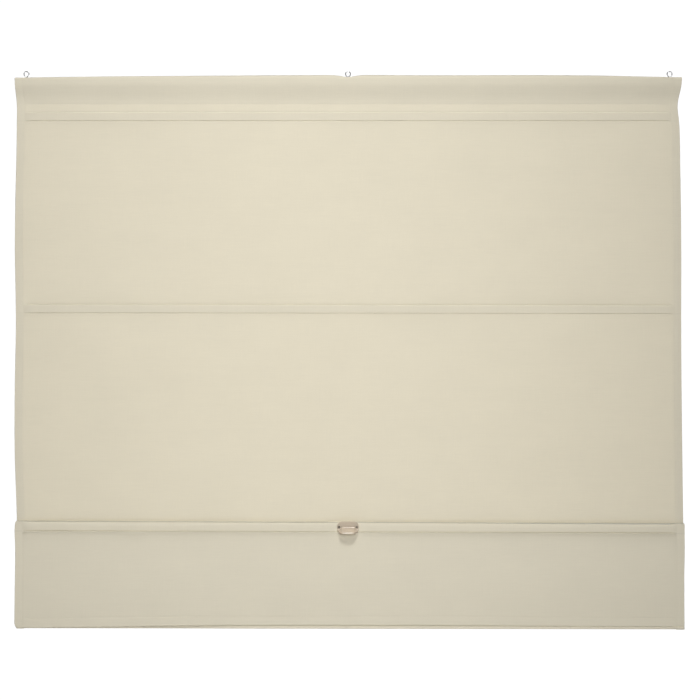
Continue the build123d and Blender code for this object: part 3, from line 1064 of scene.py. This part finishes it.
class BLIND_OT_stage(bpy.types.Operator):
    """Set the pale floor, the soft studio light and the camera"""
    bl_idname = "blind.stage"
    bl_label = "Stage"

    # name, place, target, (width, height) in metres and power in watts; the lamp behind
    # stands off from the middle of the blind and shines through the cloth.
    LAMPS = (("front", (0.12, -1.74, -0.53), (-0.8, 0.0, -1.3), (0.8, 0.8), 16.0),
             ("top", (0.06, -1.6, 1.6), (-0.8, 0.0, -1.6), (0.9, 0.5), 41.6))
    BACK_OFFSET, BACK_SIZE, BACK_POWER = (-0.1, 1.9, -0.25), (2.4, 1.8), 68.0

    def execute(self, context):
        scene = context.scene
        low, high = cad_box
        self.floor(low, scene.blind_colours)
        self.world(scene)
        for name, place, target, size, power in self.LAMPS:
            self.lamp(name, Vector(place), Vector(target), size, power)
        middle = (low + high) / 2
        self.lamp("back_glow", middle + Vector(self.BACK_OFFSET), middle, self.BACK_SIZE,
                  self.BACK_POWER)
        self.camera(scene, low)
        scene.view_settings.view_transform = "Standard"
        scene.render.film_transparent = False
        return {"FINISHED"}

    def floor(self, low, colours):
        """A round floor well below the blind."""
        radius, sides, drop = 1.9, 96, 0.8
        turns = [2 * pi * k / sides for k in range(sides)]
        points = [(radius * cos(turn), radius * sin(turn), low.z - drop) for turn in turns]
        link_mesh("floor", points, [tuple(range(sides))], floor_material(colours))

    def world(self, scene):
        """White all round for the eye, with a softer light on the blind."""
        r = Recipe(bpy.data.worlds.new("studio"))
        white = r.node("Background", values={"Color": (1.0, 1.0, 1.0, 1.0), "Strength": 1.05})
        soft = r.node("Background", values={"Color": (1.0, 0.995, 0.985, 1.0), "Strength": 0.05})
        seen = r.node("LightPath", output="Is Camera Ray")
        shown = r.node("MixShader", values={0: seen, 1: soft, 2: white})
        r.add("OutputWorld", values={"Surface": shown})
        scene.world = r.owner

    def lamp(self, name, place, target, size, power):
        """A soft box that looks at its target and isn't seen itself."""
        lamp = bpy.data.lights.new(name, "AREA")
        lamp.shape = "RECTANGLE"
        lamp.size, lamp.size_y = size
        lamp.energy = power
        lamp.color = (1.0, 0.99, 0.97)
        made = bpy.data.objects.new(name, lamp)
        made.location = place
        made.rotation_euler = (target - place).to_track_quat("-Z", "Y").to_euler()
        made.visible_camera = False
        bpy.context.scene.collection.objects.link(made)

    def camera(self, scene, low):
        """A level camera in front of the blind."""
        away, height, aside = 3.452, -0.581, 0.0042
        camera = bpy.data.cameras.new("camera")
        camera.lens = 85
        camera.clip_end = 100
        made = bpy.data.objects.new("camera", camera)
        made.location = (aside, low.y - away, height)
        made.rotation_euler = (pi / 2, 0, 0)
        scene.collection.objects.link(made)
        scene.camera = made


class BLIND_PT_panel(bpy.types.Panel):
    """Sizes, colours and pieces of the blind"""
    bl_label = "Roman blind"
    bl_idname = "BLIND_PT_panel"
    bl_space_type = "VIEW_3D"
    bl_region_type = "UI"
    bl_category = "Blind"

    def draw(self, context):
        layout = self.layout
        for group in (context.scene.blind_sizes, context.scene.blind_colours):
            column = layout.column()
            for name in group.__annotations__:
                column.prop(group, name)
        for maker in MAKERS:
            layout.operator(maker.bl_idname)


MAKERS = (BLIND_OT_cloth, BLIND_OT_tapes, BLIND_OT_stitching, BLIND_OT_slats, BLIND_OT_head,
          BLIND_OT_weight, BLIND_OT_grip, BLIND_OT_stage)
CLASSES = (BlindSizes, BlindColours, *MAKERS, BLIND_PT_panel)


def register():
    for kind in CLASSES:
        bpy.utils.register_class(kind)
    bpy.types.Scene.blind_sizes = PointerProperty(type=BlindSizes)
    bpy.types.Scene.blind_colours = PointerProperty(type=BlindColours)


def unregister():
    del bpy.types.Scene.blind_colours
    del bpy.types.Scene.blind_sizes
    for kind in reversed(CLASSES):
        bpy.utils.unregister_class(kind)


def main():
    register()
    for maker in MAKERS:
        area, name = maker.bl_idname.split(".")
        getattr(getattr(bpy.ops, area), name)()


if __name__ == "__main__":
    main()
